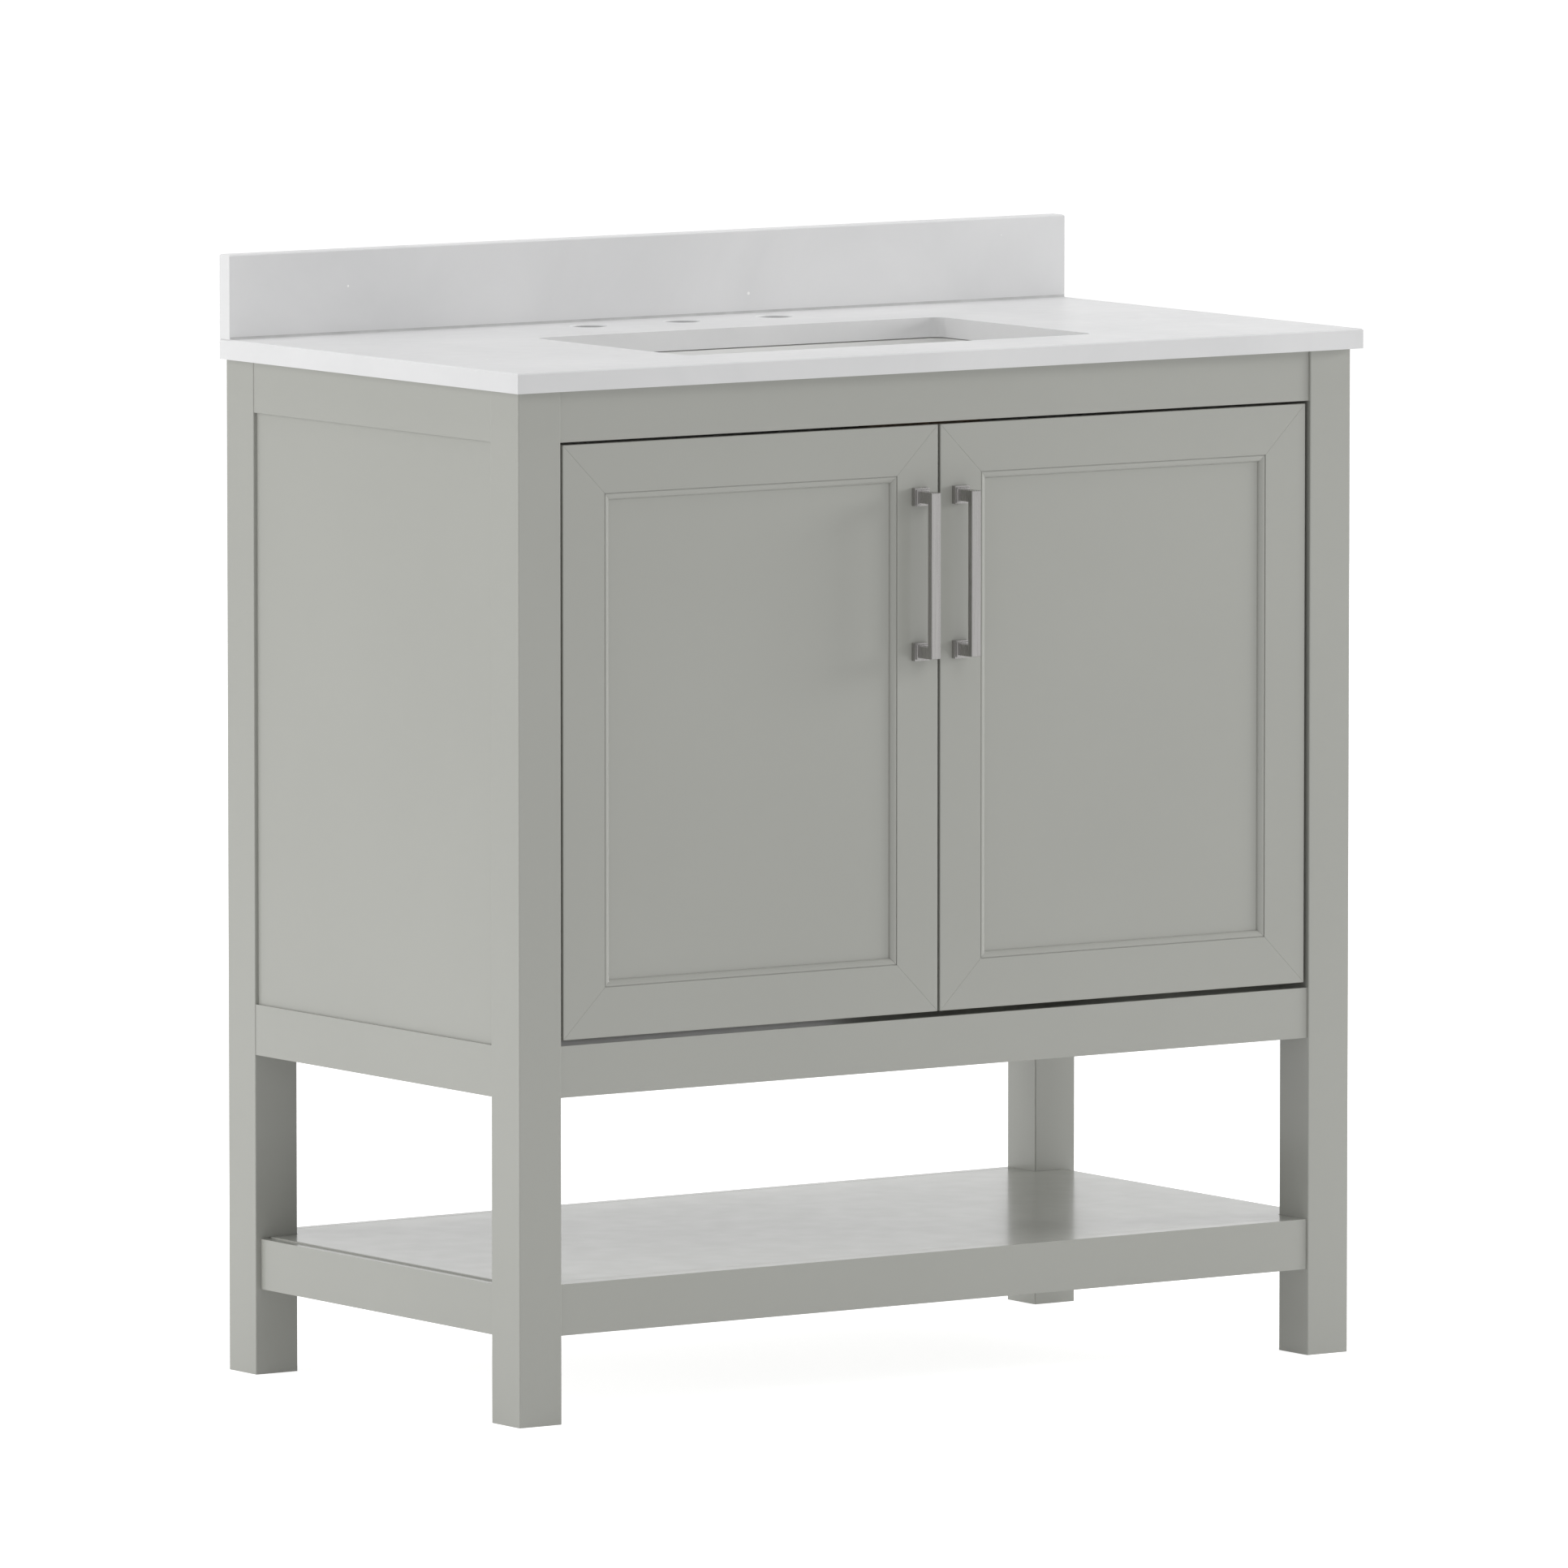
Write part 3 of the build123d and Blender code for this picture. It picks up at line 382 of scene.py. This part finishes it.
def ease(obj, width, segments):
    """Weld the imported faces, round the sharp edges and even out the shading."""
    weld = obj.modifiers.new("weld", "WELD")
    weld.merge_threshold = WELD_GAP
    bevel = obj.modifiers.new("eased_edges", "BEVEL")
    bevel.width = width * MM
    bevel.segments = segments
    bevel.limit_method = "ANGLE"
    bevel.angle_limit = EASE_ANGLE
    bevel.harden_normals = True
    bevel.miter_outer = "MITER_ARC"
    even_shading(obj)


def dress_nodes(skipped):
    """Give each CAD node its material and eased edges, unless a new piece replaces it."""
    for entry in frame["record"]["subparts"]:
        if entry["node"] in skipped:
            continue
        obj = NODES[entry["node"]]
        finish = entry["material_slot"]
        obj.data.materials.clear()
        obj.data.materials.append(MATERIALS[finish])
        ease(obj, *EASE[finish])


# ---- Door frames: moulded members with mitred ends, in place of the CAD ones.
# FACE_W is the flat face with the quirk at its inner edge; the bead takes the rest of the width.
FACE_W = 45.0 * MM
QUIRK_W = 0.9 * MM
QUIRK_DEPTH = 0.9 * MM
BEAD_TOP = 0.4 * MM
BEAD_BOTTOM = 3.4 * MM
PANEL_FRONT = 4.0 * MM
PANEL_SLOT = 6.0 * MM
SLOT_DEPTH = 9.0 * MM
EDGE_R = 0.8 * MM
QUIRK_R = 0.2 * MM
MITRE_GAP = 0.09 * MM
EDGE_STEPS = 5
QUIRK_STEPS = 3
BEAD_STEPS = 12
BEAD_CURVE = 1.8
BEAD_FALL = 0.6

# Bores of the doors: the hinge cups with their screws, and the screws of the pulls
CUP_R = 17.55 * MM
CUP_EAR_H = 29.0 * MM
CUP_SCREW_BORE_R = 1.78 * MM
CUP_SCREW_HEAD_R = 3.5 * MM
CUP_SCREW_SPAN = 45.0 * MM
CUP_SCREW_BITE = 12.0 * MM
PULL_BORE_R = 2.0 * MM
PULL_HEAD_R = 4.0 * MM
BORE_OVERRUN = 17.55 * MM
BORE_SIDES = 64


def arc(centre, radius, start, stop, steps):
    """Points of an arc in the profile plane; angles in degrees."""
    points = []
    for i in range(steps + 1):
        angle = math.radians(start + (stop - start) * i / steps)
        points.append((centre[0] + radius * math.cos(angle),
                       centre[1] + radius * math.sin(angle)))
    return points


def member_profile(width, depth):
    """Section of a member: distance in from the outer edge, depth behind the front face."""
    points = arc((EDGE_R, EDGE_R), EDGE_R, 180.0, 270.0, EDGE_STEPS)
    quirk = FACE_W - QUIRK_W
    points += arc((quirk - QUIRK_R, QUIRK_R), QUIRK_R, 270.0, 360.0, QUIRK_STEPS)
    points += [(quirk, QUIRK_DEPTH), (FACE_W, QUIRK_DEPTH), (FACE_W, BEAD_TOP)]
    span = width - FACE_W
    drop = BEAD_BOTTOM - BEAD_TOP
    for i in range(1, BEAD_STEPS + 1):
        t = i / BEAD_STEPS
        fall = 1.0 - (1.0 - t ** BEAD_CURVE) ** BEAD_FALL
        points.append((FACE_W + span * t, BEAD_TOP + drop * fall))
    points += [
        (width, PANEL_FRONT),
        (width - SLOT_DEPTH, PANEL_FRONT),
        (width - SLOT_DEPTH, PANEL_FRONT + PANEL_SLOT),
        (width, PANEL_FRONT + PANEL_SLOT),
    ]
    points += arc((width - EDGE_R, depth - EDGE_R), EDGE_R, 0.0, 90.0, EDGE_STEPS)
    points += arc((EDGE_R, depth - EDGE_R), EDGE_R, 90.0, 180.0, EDGE_STEPS)
    return points


def link_object(name, data):
    """Put new mesh, light or camera data into the scene."""
    obj = bpy.data.objects.new(name, data)
    bpy.context.collection.objects.link(obj)
    return obj


def mesh_data(name, mesh, material):
    """Turn a bmesh into mesh data of one material, and free it."""
    data = bpy.data.meshes.new(name)
    mesh.to_mesh(data)
    mesh.free()
    data.materials.append(material)
    return data


def new_object(name, mesh, material):
    """Turn a bmesh into an object with smooth faces and sharp corners."""
    bmesh.ops.recalc_face_normals(mesh, faces=mesh.faces)
    data = mesh_data(name, mesh, material)
    data.shade_smooth()
    data.set_sharp_from_angle(angle=SHARP_ANGLE)
    return link_object(name, data)


def drill(obj, centres, radius, y_low, y_high):
    """Cut round holes along Y out of a piece and keep the result as its mesh."""
    for x, z in centres:
        mesh = bmesh.new()
        rings = []
        for y in (y_low, y_high):
            rings.append([
                mesh.verts.new((x + radius * math.cos(math.tau * i / BORE_SIDES), y,
                                z + radius * math.sin(math.tau * i / BORE_SIDES)))
                for i in range(BORE_SIDES)
            ])
        for i in range(BORE_SIDES):
            j = (i + 1) % BORE_SIDES
            mesh.faces.new((rings[0][i], rings[0][j], rings[1][j], rings[1][i]))
        mesh.faces.new(rings[0])
        mesh.faces.new(rings[1])
        tool = new_object("cutter", mesh, obj.data.materials[0])
        cut = obj.modifiers.new("cut", "BOOLEAN")
        cut.operation = "DIFFERENCE"
        cut.solver = "EXACT"
        cut.object = tool
        bpy.context.view_layer.update()
        solid = obj.evaluated_get(bpy.context.evaluated_depsgraph_get())
        result = bpy.data.meshes.new_from_object(solid)
        obj.modifiers.clear()
        obj.data = result
        bpy.data.objects.remove(tool)
    obj.data.set_sharp_from_angle(angle=SHARP_ANGLE)


def frame_member(node, corner, inward, along, length):
    """One mitred member; corner is the door's front corner where its outer edge starts."""
    low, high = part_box(node)
    width = min(high[0] - low[0], high[2] - low[2])
    depth = high[1] - low[1]
    section = member_profile(width, depth)
    mesh = bmesh.new()
    ends = []
    for at_end in (False, True):
        ring = []
        for u, v in section:
            run = length - u - MITRE_GAP if at_end else u + MITRE_GAP
            ring.append(mesh.verts.new(corner + inward * u + along * run + Vector((0, v, 0))))
        ends.append(ring)
    count = len(section)
    for i in range(count):
        j = (i + 1) % count
        mesh.faces.new((ends[0][i], ends[0][j], ends[1][j], ends[1][i]))
    for ring in ends:
        mesh.faces.new(ring)
    obj = new_object(node + "_moulded", mesh, MATERIALS["painted_wood"])
    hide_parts(node)
    return obj


def drill_hinge_stile(obj, door, back):
    """The pockets of both hinge cups, and the holes of their screws."""
    low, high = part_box(door + "_hinge_cups")
    middle = (low[0] + high[0]) / 2
    spots = [(middle, low[2] + CUP_EAR_H), (middle, high[2] - CUP_EAR_H)]
    drill(obj, spots, CUP_R, low[1], high[1] + BORE_OVERRUN)
    low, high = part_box(door + "_cup_screws")
    middle = (low[0] + high[0]) / 2
    lowest, highest = low[2] + CUP_SCREW_HEAD_R, high[2] - CUP_SCREW_HEAD_R
    heights = (lowest, lowest + CUP_SCREW_SPAN, highest - CUP_SCREW_SPAN, highest)
    spots = [(middle, z) for z in heights]
    drill(obj, spots, CUP_SCREW_BORE_R, back - CUP_SCREW_BITE, back + BORE_OVERRUN)


def drill_lock_stile(obj, door, front):
    """The holes of the two screws that hold the pull."""
    low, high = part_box(door + "_pull_screws")
    middle = (low[0] + high[0]) / 2
    spots = [(middle, low[2] + PULL_HEAD_R), (middle, high[2] - PULL_HEAD_R)]
    drill(obj, spots, PULL_BORE_R, front - BORE_OVERRUN, front + 2 * BORE_OVERRUN)


def door_frame(door):
    """Both rails and both stiles of one door; returns the nodes that they replace."""
    hinge_low, hinge_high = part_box(door + "_hinge_stile")
    lock_low, lock_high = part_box(door + "_lock_stile")
    left, right = min(hinge_low[0], lock_low[0]), max(hinge_high[0], lock_high[0])
    bottom, top, front = hinge_low[2], hinge_high[2], hinge_low[1]
    x_axis, z_axis = Vector((1, 0, 0)), Vector((0, 0, 1))
    width, height = right - left, top - bottom
    hinge_x = left if hinge_low[0] < lock_low[0] else right
    lock_x = right if hinge_x == left else left
    turn = x_axis if hinge_x == left else -x_axis
    layout = {
        "rail_bottom": (Vector((left, front, bottom)), z_axis, x_axis, width),
        "rail_top": (Vector((left, front, top)), -z_axis, x_axis, width),
        "hinge_stile": (Vector((hinge_x, front, bottom)), turn, z_axis, height),
        "lock_stile": (Vector((lock_x, front, bottom)), -turn, z_axis, height),
    }
    for part, (corner, inward, along, length) in layout.items():
        node = door + "_" + part
        obj = frame_member(node, corner, inward, along, length)
        if part == "hinge_stile":
            drill_hinge_stile(obj, door, hinge_high[1])
        if part == "lock_stile":
            drill_lock_stile(obj, door, front)
        even_shading(obj)
        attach(obj, door)
    return [door + "_" + part for part in layout]


replaced = []
for side in ("door_left", "door_right"):
    replaced += door_frame(side)
dress_nodes(replaced)


# ---- Caulk bead in the corner between the top and the backsplash
CAULK_R = 2.2 * MM
CAULK_END_GAP = 1.0 * MM
CAULK_STEPS = 8
CAULK_SPANS = 60


def caulk_bead():
    """A concave bead along the backsplash, stopping just short of its ends."""
    low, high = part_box("backsplash")
    section = [(low[1], low[2])]
    for i in range(CAULK_STEPS + 1):
        angle = math.radians(90.0) * i / CAULK_STEPS
        section.append((low[1] - CAULK_R + CAULK_R * math.sin(angle),
                        low[2] + CAULK_R - CAULK_R * math.cos(angle)))
    mesh = bmesh.new()
    rings = []
    for i in range(CAULK_SPANS + 1):
        x = low[0] + CAULK_END_GAP + (high[0] - low[0] - 2 * CAULK_END_GAP) * i / CAULK_SPANS
        rings.append([mesh.verts.new((x, y, z)) for y, z in section])
    count = len(section)
    for first, second in zip(rings, rings[1:]):
        for i in range(count):
            j = (i + 1) % count
            mesh.faces.new((first[i], second[i], second[j], first[j]))
    mesh.faces.new(rings[0])
    mesh.faces.new(tuple(reversed(rings[-1])))
    bmesh.ops.recalc_face_normals(mesh, faces=mesh.faces)
    bead = link_object("caulk_bead", mesh_data("caulk_bead", mesh, CAULK_MATERIAL))
    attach(bead, "cabinet")


caulk_bead()


# ---- Studio: the floor and the world are seen whiter than the light that they give
WORLD_STRENGTH = 0.46
WORLD_SEEN = 1.0
FLOOR_HALF = 30.0
FLOOR_TONE = (0.60, 0.60, 0.60, 1.0)
FLOOR_ROUGHNESS = 0.9
FLOOR_GLOW = 0.32
FLOOR_SEEN = 0.82

# Area lights: position, the point aimed at, width and height, watts
LIGHTS = {
    "left_high": ((-4.3, 1.7, 2.3), (0.0, 0.0, 0.5), (3.0, 3.0), 62.0),
    "left_low": ((-4.3, 1.5, 0.8), (0.0, 0.0, 0.4), (3.0, 1.0), 37.0),
    "right_near": ((3.6, -1.2, 1.5), (0.2, 0.0, 0.5), (1.0, 1.0), 62.0),
    "front": ((3.4, -5.3, 0.95), (0.0, 0.0, 0.7), (3.4, 1.9), 6.0),
    "front_high": ((0.3, -4.0, 3.4), (0.0, 0.0, 0.8), (2.0, 2.0), 17.0),
    "top": ((0.0, 0.2, 4.5), (0.0, 0.0, 0.6), (3.0, 3.0), 62.0),
    "back": ((2.5, 7.0, 1.5), (0.0, 0.0, 0.7), (12.0, 3.0), 64.0),
}
UNREFLECTED = ("left_high", "left_low")


def seen_or_lit(tree, lit, seen):
    """One strength for the light given, another for what the camera sees directly."""
    paths = tree.nodes.new("ShaderNodeLightPath")
    return spread(tree, paths.outputs["Is Camera Ray"], lit, seen, 0.0, 1.0)


def floor():
    """A pale matt floor, large enough that its edge is never in view."""
    mat, tree, shader = new_material("studio_floor")
    shader.inputs["Base Color"].default_value = FLOOR_TONE
    shader.inputs["Roughness"].default_value = FLOOR_ROUGHNESS
    shader.inputs["Emission Color"].default_value = WHITE
    glow = seen_or_lit(tree, FLOOR_GLOW, FLOOR_SEEN)
    tree.links.new(glow, shader.inputs["Emission Strength"])
    mesh = bmesh.new()
    bmesh.ops.create_grid(mesh, x_segments=1, y_segments=1, size=FLOOR_HALF)
    plane = link_object("studio_floor", mesh_data("studio_floor", mesh, mat))


def area_light(name, position, target, size, power):
    """A rectangular light that the camera doesn't see."""
    light = bpy.data.lights.new(name, "AREA")
    light.shape = "RECTANGLE"
    light.size, light.size_y = size
    light.energy = power
    obj = link_object(name, light)
    obj.location = position
    obj.visible_camera = False
    obj.visible_glossy = name not in UNREFLECTED
    aim = Vector(target) - Vector(position)
    obj.rotation_euler = aim.to_track_quat("-Z", "Y").to_euler()


def studio():
    """Floor, world and lights."""
    floor()
    world = bpy.data.worlds.new("studio")
    bpy.context.scene.world = world
    world.use_nodes = True
    tree = world.node_tree
    back = tree.nodes["Background"]
    back.inputs["Color"].default_value = WHITE
    tree.links.new(seen_or_lit(tree, WORLD_STRENGTH, WORLD_SEEN), back.inputs["Strength"])
    for name, (position, target, size, power) in LIGHTS.items():
        area_light(name, position, target, size, power)


def camera():
    """A long lens to the left of the front and a little above it."""
    data = bpy.data.cameras.new("camera")
    data.lens = CAMERA_LENS
    data.sensor_width = CAMERA_SENSOR
    data.clip_end = CAMERA_CLIP
    obj = link_object("camera", data)
    forward = Vector((math.sin(CAMERA_YAW) * math.cos(CAMERA_PITCH),
                      math.cos(CAMERA_YAW) * math.cos(CAMERA_PITCH),
                      -math.sin(CAMERA_PITCH)))
    upward = Vector((math.sin(CAMERA_YAW) * math.sin(CAMERA_PITCH),
                     math.cos(CAMERA_YAW) * math.sin(CAMERA_PITCH),
                     math.cos(CAMERA_PITCH)))
    obj.location = CAMERA_AIM + upward * CAMERA_RISE - forward * CAMERA_DISTANCE
    obj.rotation_euler = forward.to_track_quat("-Z", "Y").to_euler()
    bpy.context.scene.camera = obj


studio()
camera()
bpy.context.scene.view_settings.view_transform = "Standard"
